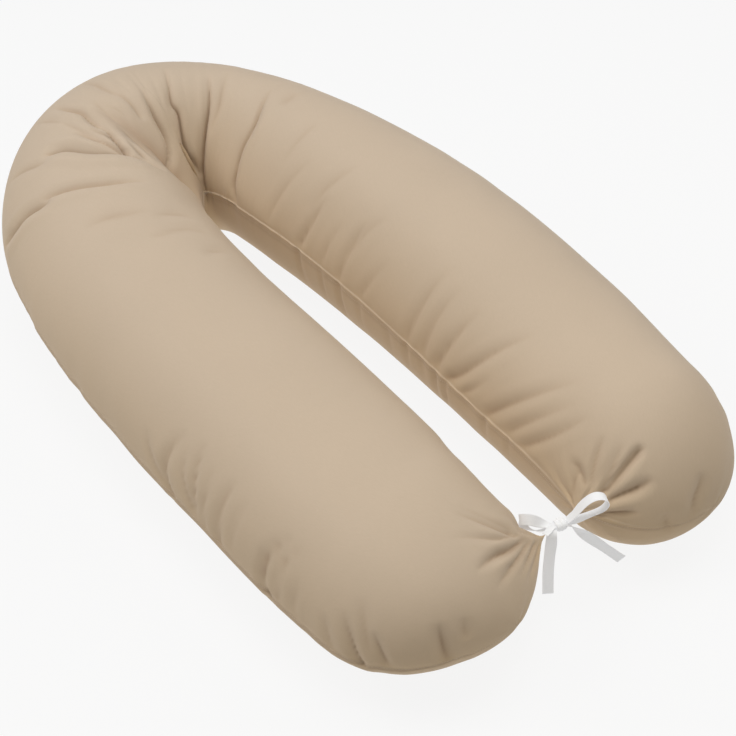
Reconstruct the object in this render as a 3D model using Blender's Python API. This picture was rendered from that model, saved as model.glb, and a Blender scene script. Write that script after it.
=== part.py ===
"""Body pillow: a long stuffed C-cut pillow folded in a U, its two ends tied in a bow.

Metres, +Z up. The pillow lies on its back panel on z = 0, the origin is under the middle of its
box, the tied ends point to +X, and the near leg is on the -Y side. The tables are in millimetres.
"""
from collections import namedtuple

import bmesh
import bpy
import numpy as np

MM = 0.001

# --- pillow: crown line and sections --------------------------------------------------------
# station: distance along the crown line from the near end, 1900 in all. x, y: the crown line's
# place. inner, outer: from the crown line to the seam inside and outside the U. height: of the
# section before it settles on the floor. slope: how early the top panel starts to fall to the
# inner seam, which is steep at 0.95 and slants down at 2. seam: height of the inner seam, as a
# share of the section's height.
Section = namedtuple("Section", "station x y inner outer height slope seam")
SECTIONS = [
    Section(0, 492, -155, 168, 143, 200, 0.95, 0.50),
    Section(85, 416, -168, 126, 138, 185, 0.95, 0.50),
    Section(209, 290, -189, 144, 117, 183, 0.95, 0.50),
    Section(380, 123, -169, 138, 132, 193, 0.95, 0.50),
    Section(570, -70, -153, 133, 133, 207, 0.95, 0.50),
    Section(741, -226, -113, 116, 145, 223, 0.98, 0.50),
    Section(855, -327, -62, 116, 147, 232, 1.2, 0.46),
    Section(950, -388, 29, 110, 135, 239, 1.5, 0.46),
    Section(1045, -340, 135, 108, 92, 231, 1.4, 0.48),
    Section(1159, -212, 175, 124, 100, 230, 1.3, 0.53),
    Section(1330, -44, 168, 118, 141, 224, 1.2, 0.54),
    Section(1520, 130, 162, 123, 140, 210, 1.15, 0.53),
    Section(1691, 306, 147, 125, 119, 194, 1.1, 0.52),
    Section(1815, 440, 122, 121, 103, 196, 1.05, 0.52),
    Section(1900, 526, 118, 139, 115, 186, 0.95, 0.50),
]
LENGTH = SECTIONS[-1].station

# a section's four quarters, panel and side of the crown line: the powers of the cosine across it
# and of the sine up it
TOP_OUTER = (0.93, 0.93)
UNDER_OUTER = (1.25, 1.25)
TOP_INNER_ACROSS = 0.95
UNDER_INNER = (0.8, 0.9)
SEAM_OUTER = 0.44       # height of the outer seam, as a share of the section's height
END_MIDDLE = 0.47       # height to which the rounded ends close

# the rounded ends: length and power of each
NEAR_END = (160, 1.68)
FAR_END = (118, 1.94)

SETTLE = 6              # how far the belly is pressed flat by the floor
SEAM_DRAW = 2           # how far the stitching draws the outer seam in
SEAM_REACH = 5          # degrees of girth that the drawn-in groove takes up on each side

# the middle of the pillow's box, in the tables' frame, goes over the origin
MIDDLE = (2, 2)

# --- pillow: the ends that the tapes gather ---------------------------------------------------
# station on the inner seam, the point that the knot draws it to, and how fast the pull fades
Gather = namedtuple("Gather", "station tip fade")
NEAR_GATHER = Gather(46, (438, -54, 99), 20)
FAR_GATHER = Gather(1822, (439, -11.8, 96), 22)
GATHER_PULL = 0.95

# --- pillow: main folds -----------------------------------------------------------------------
# start, middle, end: (station, girth angle), with 0 on the inner seam, 90 on the crown and 180
# on the outer seam. deepest: where along the fold, 0 to 1.
Fold = namedtuple("Fold", "start middle end depth half_width deepest")
FOLDS = [
    # across the bend, from the outer side to the cleft
    Fold((895, 100), (868, 66), (822, 14), 24, 30, 0.80),
    Fold((848, 130), (819, 94), (785, 56), 14, 15, 0.50),
    Fold((908, 126), (868, 93), (811, 74), 7, 12, 0.65),
    Fold((876, 84), (848, 64), (814, 54), 5, 13, 0.60),
    Fold((938, 126), (930, 105), (917, 80), 4, 14, 0.50),
    Fold((951, 83), (915, 56), (830, 41), 7, 14, 0.60),
    Fold((991, 98), (983, 58), (1004, 20), 6, 12, 0.70),
    Fold((1034, 88), (1033, 48), (1023, -12), 8, 14, 0.75),
    Fold((1055, 92), (1056, 66), (1046, 44), 4, 16, 0.50),
    Fold((1114, 88), (1131, 46), (1150, 4), 6, 16, 0.70),
    # on the near side of the bend
    Fold((793, 166), (775, 141), (765, 120), 9, 15, 0.40),
    Fold((777, 127), (760, 101), (743, 70), 6, 16, 0.45),
    Fold((843, 150), (837, 134), (827, 117), 5, 13, 0.50),
    Fold((690, 113), (688, 94), (681, 76), 4, 20, 0.50),
    # up from the far leg's inner seam
    Fold((1245, 48), (1238, 34), (1232, 20), 4, 14, 0.60),
    Fold((1313, 74), (1303, 54), (1298, 36), 4, 17, 0.50),
    Fold((1311, 36), (1306, 25), (1299, 10), 6, 12, 0.70),
    Fold((1385, 36), (1385, 25), (1385, 13), 5, 12, 0.65),
    Fold((1528, 42), (1527, 27), (1525, 10), 5, 16, 0.70),
    Fold((1556, 40), (1555, 24), (1555, 6), 5, 15, 0.70),
    Fold((1592, 38), (1589, 22), (1583, 4), 6, 15, 0.70),
    Fold((1654, 45), (1634, 24), (1606, 2), 9, 16, 0.65),
    Fold((1730, 44), (1711, 27), (1687, 5), 8, 16, 0.60),
    Fold((1775, 40), (1763, 26), (1748, 9), 5, 15, 0.60),
    # in from the near leg's outer seam
    Fold((377, 144), (379, 160), (376, 178), 8, 14, 0.65),
    Fold((338, 142), (325, 160), (316, 178), 6, 13, 0.65),
    Fold((289, 144), (279, 162), (279, 180), 7, 13, 0.65),
    Fold((211, 144), (220, 158), (215, 176), 8, 14, 0.65),
    Fold((130, 160), (118, 169), (108, 182), 6, 13, 0.65),
    Fold((50, 140), (40, 158), (32, 178), 8, 13, 0.60),
    # round the neck of the near gather
    Fold((62, 46), (70, 10), (84, -28), 10, 10, 0.55),
    # fanning out of the near gather
    Fold((106, 78), (76, 68), (56, 42), 6, 10, 0.65),
    Fold((85, 92), (66, 77), (54, 46), 5, 10, 0.65),
    Fold((45, 92), (44, 65), (50, 24), 8, 12, 0.65),
    Fold((31, 90), (33, 60), (42, 24), 6, 10, 0.65),
    # fanning out of the far gather
    Fold((1837, 61), (1839, 42), (1834, 16), 8, 10, 0.50),
    Fold((1861, 50), (1853, 32), (1840, 13), 8, 10, 0.60),
    Fold((1869, 20), (1856, 9), (1838, -4), 6, 10, 0.60),
]
FOLD_STEPS = 10         # straight pieces along a fold
TROUGH_POWER = 1.5      # how squarely a fold's sides fall to its bottom
RIDGE_SHARE = 0.22      # how far the cloth stands up beside a fold, as a share of its depth
RIDGE_AWAY = 2          # how many half widths from the fold it stands up
REACH = 90              # a fold moves no cloth further along the pillow than this

# --- pillow: the mesh -------------------------------------------------------------------------
# the station at which a ring number falls; between two of these the rings are evenly spaced
RING_TABLE = ((0, 0.4), (3, 6), (6, 20), (10, 52), (17, 110), (21, 180), (35, 400), (43, 680),
              (85, 1160), (105, 1500), (127, 1790), (130, 1822), (134, 1870), (136, 1892),
              (138, 1899.6))
GIRTH_POINTS = 42
INNER_CROWDING = 0.3    # the girth points crowd to the inner seam

# --- bow --------------------------------------------------------------------------------------
# the knot's centre, and the direction of the tapes through it, seen from above
KNOT = (439, -33, 97)
KNOT_RUN = (0.30, 0.954)
TAPE_THICKNESS = 1.0
TAPE_STEP = 3.0

# a tape's course from the knot's centre. along: toward the far leg; front: toward +X; up. The
# width lies along (w_along, w_front, w_up).
Turn = namedtuple("Turn", "along front up w_along w_front w_up width")
NEAR_TIE = [
    Turn(-21.5, 6.0, 0.2, 0, 1, 0, 7.5),        # sewn into the near end's seam
    Turn(-14, 2.6, 1.7, 0, 1, 0, 7.5),
    Turn(-6.8, 0, 2.1, 0, 1, 0, 7.5),           # through the knot
    Turn(0, 0, 2.1, 0, 1, 0, 7.5),
    Turn(6.5, 0, 2.1, 0, 1, 0, 7.5),
    Turn(10, 1.5, 6, -0.2, 1, 0, 9),            # the loop that stands over the far end
    Turn(16.5, 4.2, 19, -0.3, 1, 0.05, 12),
    Turn(24, 6.8, 32, -0.3, 1, 0.05, 12),
    Turn(33, 9.5, 38, -0.3, 1, 0.05, 12),
    Turn(42, 12.4, 35.5, -0.3, 1, 0.1, 12),
    Turn(45.8, 13.6, 27.5, -0.3, 0.95, 0.2, 12),
    Turn(42.5, 12.8, 19, -0.3, 0.9, 0.3, 12),
    Turn(32.5, 9.4, 12, -0.3, 0.85, 0.35, 12),
    Turn(17.5, 4.6, 4.6, -0.2, 0.95, 0.15, 11),
    Turn(10.8, 1.6, 1.4, -0.1, 1, 0, 8.5),
    Turn(6.5, 0, 0.7, 0, 1, 0, 7.5),            # back through the knot
    Turn(0, 0, 0.7, 0, 1, 0, 7.5),
    Turn(-6.5, 0, 0.7, 0, 1, 0, 7.5),
    Turn(-10.5, 3.0, 0.6, 0.4, 0.9, 0, 8.5),    # the tail that hangs
    Turn(-13.8, 7.3, -2.2, 0.8, 0.6, 0.1, 10.5),
    Turn(-14.8, 9.3, -10, 0.91, 0.42, 0, 12),
    Turn(-15.5, 10.7, -25, 0.91, 0.42, 0, 12),
    Turn(-15.8, 12.3, -50, 0.91, 0.42, 0, 12),
    Turn(-15.3, 17.3, -88, 0.91, 0.42, 0, 12),
]
FAR_TIE = [
    Turn(21.3, -7.0, -1.4, 0, -1, 0, 7.5),      # sewn into the far end's seam
    Turn(13, -3.2, -0.8, 0, -1, 0, 7.5),
    Turn(6.5, 0, -0.7, 0, -1, 0, 7.5),          # through the knot
    Turn(0, 0, -0.7, 0, -1, 0, 7.5),
    Turn(-6.5, 0, -0.7, 0, -1, 0, 7.5),
    Turn(-12, -5.4, -0.7, 0.1, -0.9, 0.1, 8.5),  # the loop that lies toward the near end
    Turn(-20, -9.2, 3.4, 0.15, -0.6, 0.7, 11),
    Turn(-28.3, -12.7, 7.5, 0.29, -0.62, 0.73, 12),
    Turn(-34.4, -17, 6.8, 0.29, -0.62, 0.73, 12),
    Turn(-36.8, -20.9, 2.5, 0.29, -0.62, 0.73, 12),
    Turn(-34.4, -20.4, -3.2, 0.25, -0.4, 0.9, 12),
    Turn(-29.8, -15.8, -7.6, -0.05, 0.35, 0.9, 12),
    Turn(-23.2, -9.4, -8.4, -0.2, 0.62, 0.72, 10.5),
    Turn(-14, -3, -4.6, -0.1, 0.9, 0.35, 8.5),
    Turn(-6.5, 0, -2.1, 0, 1, 0, 7.5),          # back through the knot
    Turn(0, 0, -2.1, 0, 1, 0, 7.5),
    Turn(6.5, 0, -2.1, 0, 1, 0, 7.5),
    Turn(12.5, 4.2, -4.7, 0.25, 0.95, 0.15, 9),  # the tail that lies out to the side
    Turn(22, 10.8, -13, 0.58, 0.35, 0.7, 12),
    Turn(41, 20.3, -32, 0.63, 0.18, 0.76, 12),
    Turn(63, 32, -54, 0.63, 0.16, 0.76, 12),
]

# the turn of tape round the knot: half sizes of its opening, its thickness and its plump middle
WRAP_HALF_LENGTH = 5.9
WRAP_OPENING = (5.0, 3.5)
WRAP_OPENING_POWER = 6
WRAP_THICKNESS = 1.0
WRAP_SWELL = 0.9
WRAP_POWER = 2.6
WRAP_SIDES = 24
WRAP_RINGS = 5

# --- finishes ---------------------------------------------------------------------------------
COTTON = ("plain beige cotton", (0.55, 0.43, 0.32), 0.85)
TAPE = ("white twill tape", (0.80, 0.80, 0.80), 0.80)


def natural_spline(knots, values, at):
    """Smooth curve through values at the knots: its values and slopes at the places asked."""
    knots = np.asarray(knots, float)
    values = np.asarray(values, float)
    gap = np.diff(knots)
    count = len(knots)
    system = np.eye(count)
    right = np.zeros(values.shape)
    rise = np.diff(values, axis=0) / gap.reshape((-1,) + (1,) * (values.ndim - 1))
    for i in range(1, count - 1):
        system[i, i - 1:i + 2] = gap[i - 1], 2 * (gap[i - 1] + gap[i]), gap[i]
        right[i] = 6 * (rise[i] - rise[i - 1])
    bend = np.linalg.solve(system, right)
    i = np.clip(np.searchsorted(knots, at) - 1, 0, count - 2)
    column = (-1,) + (1,) * (values.ndim - 1)
    h = gap[i].reshape(column)
    a = (knots[i + 1] - at).reshape(column) / h
    b = (at - knots[i]).reshape(column) / h
    here = a * values[i] + b * values[i + 1]
    here += ((a ** 3 - a) * bend[i] + (b ** 3 - b) * bend[i + 1]) * h ** 2 / 6
    slope = rise[i] + ((3 * b ** 2 - 1) * bend[i + 1] - (3 * a ** 2 - 1) * bend[i]) * h / 6
    return here, slope


def end_fullness(station):
    """Share of its full width that the pillow has at a station: 1, but for the rounded ends."""
    share = np.ones_like(station, float)
    for distance, (length, power) in ((station, NEAR_END), (LENGTH - station, FAR_END)):
        open_share = np.clip(distance / length, 0, 1)
        share *= (1 - (1 - open_share) ** power) ** (1 / power)
    return share


def cloth_points(station, angle):
    """Places on the smooth pillow, in millimetres, at stations and girth angles in degrees."""
    station, angle = np.broadcast_arrays(np.asarray(station, float), np.asarray(angle, float))
    shape = station.shape
    station = station.ravel()
    turn = np.radians(angle.ravel())
    knots = [s.station for s in SECTIONS]
    table = np.array([s[1:] for s in SECTIONS], float)
    here, slope = natural_spline(knots, table, station)
    x, y, inner, outer, height, slope_down, seam_inner = here.T
    run = slope[:, :2] / np.linalg.norm(slope[:, :2], axis=1)[:, None]
    across, up = -np.cos(turn), np.sin(turn)
    outside, top = across > 0, up > 0
    wide_power = np.where(top, np.where(outside, TOP_OUTER[0], TOP_INNER_ACROSS),
                          np.where(outside, UNDER_OUTER[0], UNDER_INNER[0]))
    tall_power = np.where(top, np.where(outside, TOP_OUTER[1], slope_down),
                          np.where(outside, UNDER_OUTER[1], UNDER_INNER[1]))
    seam = np.where(outside, SEAM_OUTER, seam_inner)
    wide = np.sign(across) * np.abs(across) ** wide_power
    tall = np.abs(up) ** tall_power
    level = np.where(top, seam + (1 - seam) * tall, seam * (1 - tall))
    full = end_fullness(station)
    from_seam = np.degrees(np.abs(np.sin(turn))) / SEAM_REACH
    half = np.where(outside, outer - SEAM_DRAW * np.exp(-from_seam ** 2), inner)
    reach = wide * half * full
    px = x - run[:, 1] * reach
    py = y + run[:, 0] * reach
    pz = height * (END_MIDDLE + (level - END_MIDDLE) * full) - SETTLE
    return np.stack([px, py, pz], -1).reshape(shape + (3,))


def gather_ends(points):
    """Draw the cloth round each tape's root out to the knot, in a hollow-sided cone."""
    for gather in (NEAR_GATHER, FAR_GATHER):
        root = cloth_points(gather.station, 0)
        away = np.linalg.norm(points - root, axis=-1)
        pull = GATHER_PULL * np.exp(-away / gather.fade)
        points = points + pull[..., None] * (np.array(gather.tip, float) - points)
    return points


def fold_line(fold):
    """A fold's line on the smooth pillow: places, stations, and share of its length."""
    t = np.linspace(0, 1, FOLD_STEPS + 1)
    start, middle, end = (np.array(p, float) for p in (fold.start, fold.middle, fold.end))
    place = (np.outer((1 - t) * (1 - 2 * t), start) + np.outer(4 * t * (1 - t), middle)
             + np.outer(t * (2 * t - 1), end))
    return cloth_points(place[:, 0], place[:, 1]), place[:, 0], t


def fold_depth(smooth, station, fold):
    """How deep a fold is pressed in at each place of the smooth pillow."""
    line, line_station, share = fold_line(fold)
    nearest = np.full(smooth.shape[:-1], np.inf)
    along = np.zeros(smooth.shape[:-1])
    for a, b, t0, t1 in zip(line[:-1], line[1:], share[:-1], share[1:]):
        step = b - a
        t = np.clip((smooth - a) @ step / (step @ step), 0, 1)
        away = np.linalg.norm(smooth - a - t[..., None] * step, axis=-1)
        closer = away < nearest
        nearest = np.where(closer, away, nearest)
        along = np.where(closer, t0 + t * (t1 - t0), along)
    rise = np.clip(along / fold.deepest, 0, 1)
    fall = np.clip((1 - along) / (1 - fold.deepest), 0, 1)
    taper = np.sin(np.pi / 2 * np.minimum(rise, fall))
    here = np.abs(station - line_station.mean()) < REACH
    x = nearest / fold.half_width
    trough = np.exp(-x ** TROUGH_POWER) - RIDGE_SHARE * np.exp(-(x - RIDGE_AWAY) ** 2)
    return np.where(here, fold.depth * taper * trough, 0)


def outward(points):
    """Unit normals of a grid of rings that closes round the girth."""
    around = np.roll(points, -1, axis=1) - np.roll(points, 1, axis=1)
    along = np.gradient(points, axis=0)
    normal = np.cross(along, around)
    return normal / np.maximum(np.linalg.norm(normal, axis=-1), 1e-9)[..., None]


def ring_stations():
    number, station = np.array(RING_TABLE, float).T
    return np.interp(np.arange(number[-1] + 1), number, station)


def new_material(name, colour, roughness):
    material = bpy.data.materials.get(name) or bpy.data.materials.new(name)
    material.use_nodes = True
    shader = material.node_tree.nodes["Principled BSDF"]
    shader.inputs["Base Color"].default_value = (*colour, 1)
    shader.inputs["Roughness"].default_value = roughness
    return material


def add_object(name, points, faces, finish):
    """Put a closed mesh in the scene, its points given in the tables' frame."""
    mesh = bpy.data.meshes.new(name)
    mesh.from_pydata([tuple((p - (*MIDDLE, 0)) * MM) for p in points], [], faces)
    closed = bmesh.new()
    closed.from_mesh(mesh)
    bmesh.ops.recalc_face_normals(closed, faces=closed.faces)
    closed.to_mesh(mesh)
    closed.free()
    mesh.shade_smooth()
    mesh.materials.append(new_material(*finish))
    made = bpy.data.objects.new(name, mesh)
    bpy.context.scene.collection.objects.link(made)
    return made


def tube_faces(rings, sides):
    """Quads between rings of points, each ring closed on itself."""
    faces = []
    for i in range(rings - 1):
        for j in range(sides):
            k = (j + 1) % sides
            faces.append((i * sides + j, (i + 1) * sides + j, (i + 1) * sides + k, i * sides + k))
    return faces


def make_pillow():
    even = np.arange(GIRTH_POINTS) * 2 * np.pi / GIRTH_POINTS
    angle = np.degrees(even - INNER_CROWDING * np.sin(even))
    station = ring_stations()
    station_grid, angle_grid = np.meshgrid(station, angle, indexing="ij")
    smooth = cloth_points(station_grid, angle_grid)
    depth = sum(fold_depth(smooth, station_grid, fold) for fold in FOLDS)
    points = smooth - depth[..., None] * outward(smooth)
    points = gather_ends(points)
    on_floor = smooth[..., 2] <= 0
    points[..., 2] = np.where(on_floor, 0, np.maximum(points[..., 2], 0))
    poles = [cloth_points(0, 0), cloth_points(LENGTH, 0)]
    rings = len(station)
    flat = list(points.reshape(-1, 3)) + poles
    first, last = rings * GIRTH_POINTS, rings * GIRTH_POINTS + 1
    faces = tube_faces(rings, GIRTH_POINTS)
    for j in range(GIRTH_POINTS):
        k = (j + 1) % GIRTH_POINTS
        faces.append((first, j, k))
        faces.append((last, (rings - 1) * GIRTH_POINTS + k, (rings - 1) * GIRTH_POINTS + j))
    return add_object("pillow", flat, faces, COTTON)


def knot_frame():
    """The knot's centre and its along, front and up directions."""
    along = np.array([*KNOT_RUN, 0.0])
    along /= np.linalg.norm(along)
    up = np.array([0.0, 0.0, 1.0])
    return np.array(KNOT, float), np.stack([along, np.cross(along, up), up])


def make_tape(name, turns):
    """A flat tape swept along its turns, its width lying as each turn says."""
    centre, axes = knot_frame()
    table = np.array(turns, float)
    travel = np.concatenate([[0], np.cumsum(np.linalg.norm(np.diff(table[:, :3], axis=0), axis=1))])
    at = np.linspace(0, travel[-1], int(travel[-1] / TAPE_STEP))
    here, slope = natural_spline(travel, table, at)
    run = slope[:, :3] / np.linalg.norm(slope[:, :3], axis=1)[:, None]
    side = here[:, 3:6] - (here[:, 3:6] * run).sum(1)[:, None] * run
    side /= np.linalg.norm(side, axis=1)[:, None]
    face = np.cross(run, side)
    half_width = here[:, 6, None] / 2
    half_thick = TAPE_THICKNESS / 2
    corners = [here[:, :3] + s * half_width * side + f * half_thick * face
               for s, f in ((-1, -1), (1, -1), (1, 1), (-1, 1))]
    points = np.stack(corners, 1).reshape(-1, 3) @ axes + centre
    rings = len(at)
    faces = tube_faces(rings, 4)
    faces += [(0, 1, 2, 3), tuple(4 * (rings - 1) + j for j in (3, 2, 1, 0))]
    return add_object(name, points, faces, TAPE)


def make_wrap():
    """The turn of tape round the knot, as a closed band with the tapes inside it."""
    centre, axes = knot_frame()
    turn = np.arange(WRAP_SIDES) * 2 * np.pi / WRAP_SIDES
    circle = np.stack([np.cos(turn), np.sin(turn)], 1)

    def ring(share, half, power):
        outline = np.sign(circle) * np.abs(circle) ** (2 / power) * half
        return np.column_stack([np.full(WRAP_SIDES, share * WRAP_HALF_LENGTH), outline])

    shares = np.linspace(-1, 1, WRAP_RINGS)
    opening = np.array(WRAP_OPENING)
    outside = [ring(share, opening + WRAP_THICKNESS + WRAP_SWELL * (1 - share ** 2), WRAP_POWER)
               for share in shares]
    inside = [ring(share, opening, WRAP_OPENING_POWER) for share in shares[::-1]]
    points = np.concatenate(outside + inside) @ axes + centre
    faces = [tuple(i % len(points) for i in face)
             for face in tube_faces(2 * WRAP_RINGS + 1, WRAP_SIDES)]
    return add_object("bow_knot", points, faces, TAPE)


def main():
    for old in list(bpy.data.objects):
        bpy.data.objects.remove(old)
    make_pillow()
    make_tape("near_tie", NEAR_TIE)
    make_tape("far_tie", FAR_TIE)
    make_wrap()


main()
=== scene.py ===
"""Looks of the body pillow: cotton cover with its folds, seam stitching, tapes and bow.

The tables repeat the part's own sizes, in millimetres; MM and MIDDLE turn them into the frame.
"""
import math
from collections import namedtuple

import bpy
import numpy as np
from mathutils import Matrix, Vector


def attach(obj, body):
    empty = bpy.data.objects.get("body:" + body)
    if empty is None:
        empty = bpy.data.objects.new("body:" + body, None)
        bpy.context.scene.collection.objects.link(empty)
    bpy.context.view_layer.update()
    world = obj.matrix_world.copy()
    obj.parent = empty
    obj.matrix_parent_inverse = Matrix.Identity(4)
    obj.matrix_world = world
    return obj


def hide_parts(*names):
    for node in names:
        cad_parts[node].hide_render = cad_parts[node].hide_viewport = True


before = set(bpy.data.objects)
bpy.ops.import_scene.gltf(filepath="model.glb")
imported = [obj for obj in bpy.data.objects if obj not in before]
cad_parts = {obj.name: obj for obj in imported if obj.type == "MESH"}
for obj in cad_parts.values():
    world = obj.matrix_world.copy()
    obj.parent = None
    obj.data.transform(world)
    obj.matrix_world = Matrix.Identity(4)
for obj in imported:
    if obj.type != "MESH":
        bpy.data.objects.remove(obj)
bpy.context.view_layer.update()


# --- pillow cover: its stuffed shape ----------------------------------------------------------
# Two C-cut panels of plain cotton, sewn together all round and stuffed with loose fibre. The
# filling rounds the panels between the inner and the outer seam; the back panel lies flat.

MM = 0.001
MIDDLE = (2, 2)         # the place in these tables that is the middle of the frame

# station: distance along the crown line from the near end. x, y: the crown line's place. inner,
# outer: from the crown line to the seam inside and outside the U. height: before it settles.
# slope: how early the top panel starts to fall to the inner seam, which is steep at 0.95 and
# slants down at 2. seam: height of the inner seam, as a share of the section's height.
Section = namedtuple("Section", "station x y inner outer height slope seam")
SECTIONS = [
    Section(0, 492, -155, 168, 143, 200, 0.95, 0.50),
    Section(85, 416, -168, 126, 138, 185, 0.95, 0.50),
    Section(209, 290, -189, 144, 117, 183, 0.95, 0.50),
    Section(380, 123, -169, 138, 132, 193, 0.95, 0.50),
    Section(570, -70, -153, 133, 133, 207, 0.95, 0.50),
    Section(741, -226, -113, 116, 145, 223, 0.98, 0.50),
    Section(855, -327, -62, 116, 147, 232, 1.2, 0.46),
    Section(950, -388, 29, 110, 135, 239, 1.5, 0.46),
    Section(1045, -340, 135, 108, 92, 231, 1.4, 0.48),
    Section(1159, -212, 175, 124, 100, 230, 1.3, 0.53),
    Section(1330, -44, 168, 118, 141, 224, 1.2, 0.54),
    Section(1520, 130, 162, 123, 140, 210, 1.15, 0.53),
    Section(1691, 306, 147, 125, 119, 194, 1.1, 0.52),
    Section(1815, 440, 122, 121, 103, 196, 1.05, 0.52),
    Section(1900, 526, 118, 139, 115, 186, 0.95, 0.50),
]
LENGTH = SECTIONS[-1].station
# a section's quarters: powers of the cosine, across it, and of the sine, up it
TOP_OUTER = (0.93, 0.93)
UNDER_OUTER = (1.25, 1.25)
TOP_INNER_ACROSS = 0.95
UNDER_INNER = (0.8, 0.9)
SEAM_OUTER = 0.44       # height of the outer seam, as a share of the section's height
NEAR_END = (160, 1.68)  # length of a rounded end, and the power of its outline
FAR_END = (118, 1.94)
END_MIDDLE = 0.47       # the height that the rounded ends close to, as a share of the section's
SETTLE = 6              # how far the filling's weight flattens the back panel
SOFT_CONTACT = 1.6      # how softly the back panel lifts off the floor
# how far the stitching draws the outer seam in, how far the seam's edge stands out inside the U,
# and over how many degrees of the girth
SEAM_DRAW, SEAM_REACH = 1.7, 2.6
SEAM_LIP, LIP_REACH = 1.7, 1.1

# the station at which a ring number falls, and the girth angle of a point's number; both crowd
# where the cloth is finely folded, and beside the seams
RING_TABLE = ((0, 0.15), (5, 3), (12, 12), (28, 42), (60, 110), (82, 180), (172, 700), (200, 790),
              (416, 1130), (452, 1240), (528, 1600), (552, 1700), (572, 1780), (597, 1830),
              (611, 1868), (619, 1886), (626, 1896), (630, 1899.8))
GIRTH_TABLE = ((0, 0), (10, 8), (58, 90), (86, 140), (110, 180), (115, 190), (136, 350),
               (146, 360))
CROWN, OUTER_SEAM, GIRTH_POINTS = 58, 110, 146
UNDER_MIDDLE = 126      # the point at the middle of the back panel


def natural_spline(knots, values, at):
    """Smooth curve through values at the knots: its values and slopes at the places asked."""
    knots = np.asarray(knots, float)
    values = np.asarray(values, float)
    gap = np.diff(knots)
    count = len(knots)
    system = np.eye(count)
    right = np.zeros(values.shape)
    rise = np.diff(values, axis=0) / gap.reshape((-1,) + (1,) * (values.ndim - 1))
    for i in range(1, count - 1):
        system[i, i - 1:i + 2] = gap[i - 1], 2 * (gap[i - 1] + gap[i]), gap[i]
        right[i] = 6 * (rise[i] - rise[i - 1])
    bend = np.linalg.solve(system, right)
    i = np.clip(np.searchsorted(knots, at) - 1, 0, count - 2)
    column = (-1,) + (1,) * (values.ndim - 1)
    h = gap[i].reshape(column)
    a = (knots[i + 1] - at).reshape(column) / h
    b = (at - knots[i]).reshape(column) / h
    here = a * values[i] + b * values[i + 1]
    here += ((a ** 3 - a) * bend[i] + (b ** 3 - b) * bend[i + 1]) * h ** 2 / 6
    slope = rise[i] + ((3 * b ** 2 - 1) * bend[i + 1] - (3 * a ** 2 - 1) * bend[i]) * h / 6
    return here, slope


def end_fullness(station):
    """Share of its full width that the pillow has at a station: 1, but for the rounded ends."""
    share = np.ones_like(station, float)
    for distance, (length, power) in ((station, NEAR_END), (LENGTH - station, FAR_END)):
        open_share = np.clip(distance / length, 0, 1)
        share *= (1 - (1 - open_share) ** power) ** (1 / power)
    return share


def cloth_points(station, angle):
    """Places on the smooth stuffed cover at stations and girth angles, which are in degrees:
    0 on the inner seam, 90 on the crown and 180 on the outer seam."""
    station, angle = np.broadcast_arrays(np.asarray(station, float), np.asarray(angle, float))
    shape = station.shape
    station = station.ravel()
    turn = np.radians(angle.ravel())
    table = np.array([s[1:] for s in SECTIONS], float)
    here, slope = natural_spline([s.station for s in SECTIONS], table, station)
    x, y, inner, outer, height, slope_down, seam_inner = here.T
    run = slope[:, :2] / np.linalg.norm(slope[:, :2], axis=1)[:, None]
    across, up = -np.cos(turn), np.sin(turn)
    outside, top = across > 0, up > 0
    wide_power = np.where(top, np.where(outside, TOP_OUTER[0], TOP_INNER_ACROSS),
                          np.where(outside, UNDER_OUTER[0], UNDER_INNER[0]))
    tall_power = np.where(top, np.where(outside, TOP_OUTER[1], slope_down),
                          np.where(outside, UNDER_OUTER[1], UNDER_INNER[1]))
    seam = np.where(outside, SEAM_OUTER, seam_inner)
    wide = np.sign(across) * np.abs(across) ** wide_power
    tall = np.abs(up) ** tall_power
    level = np.where(top, seam + (1 - seam) * tall, seam * (1 - tall))
    full = end_fullness(station)
    from_seam = np.degrees(np.abs(up))
    drawn = np.where(outside, SEAM_DRAW * np.exp(-(from_seam / SEAM_REACH) ** 2),
                     -SEAM_LIP * np.exp(-(from_seam / LIP_REACH) ** 2))
    half = np.where(outside, outer, inner) - drawn
    reach = wide * half * full
    px = x - run[:, 1] * reach
    py = y + run[:, 0] * reach
    pz = height * (END_MIDDLE + (level - END_MIDDLE) * full) - SETTLE
    return np.stack([px, py, pz], -1).reshape(shape + (3,))


def outward(points):
    """Unit normals of a grid of rings that closes round the girth."""
    around = np.roll(points, -1, axis=1) - np.roll(points, 1, axis=1)
    along = np.gradient(points, axis=0)
    normal = np.cross(along, around)
    return normal / np.maximum(np.linalg.norm(normal, axis=-1), 1e-9)[..., None]


# --- pillow cover: its folds ------------------------------------------------------------------
# The cover is a straight-grained cloth bent into a U, so it folds across the bend, puckers along
# its seams where two curved edges are sewn together, and fans out from the sewn-in tapes.

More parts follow.
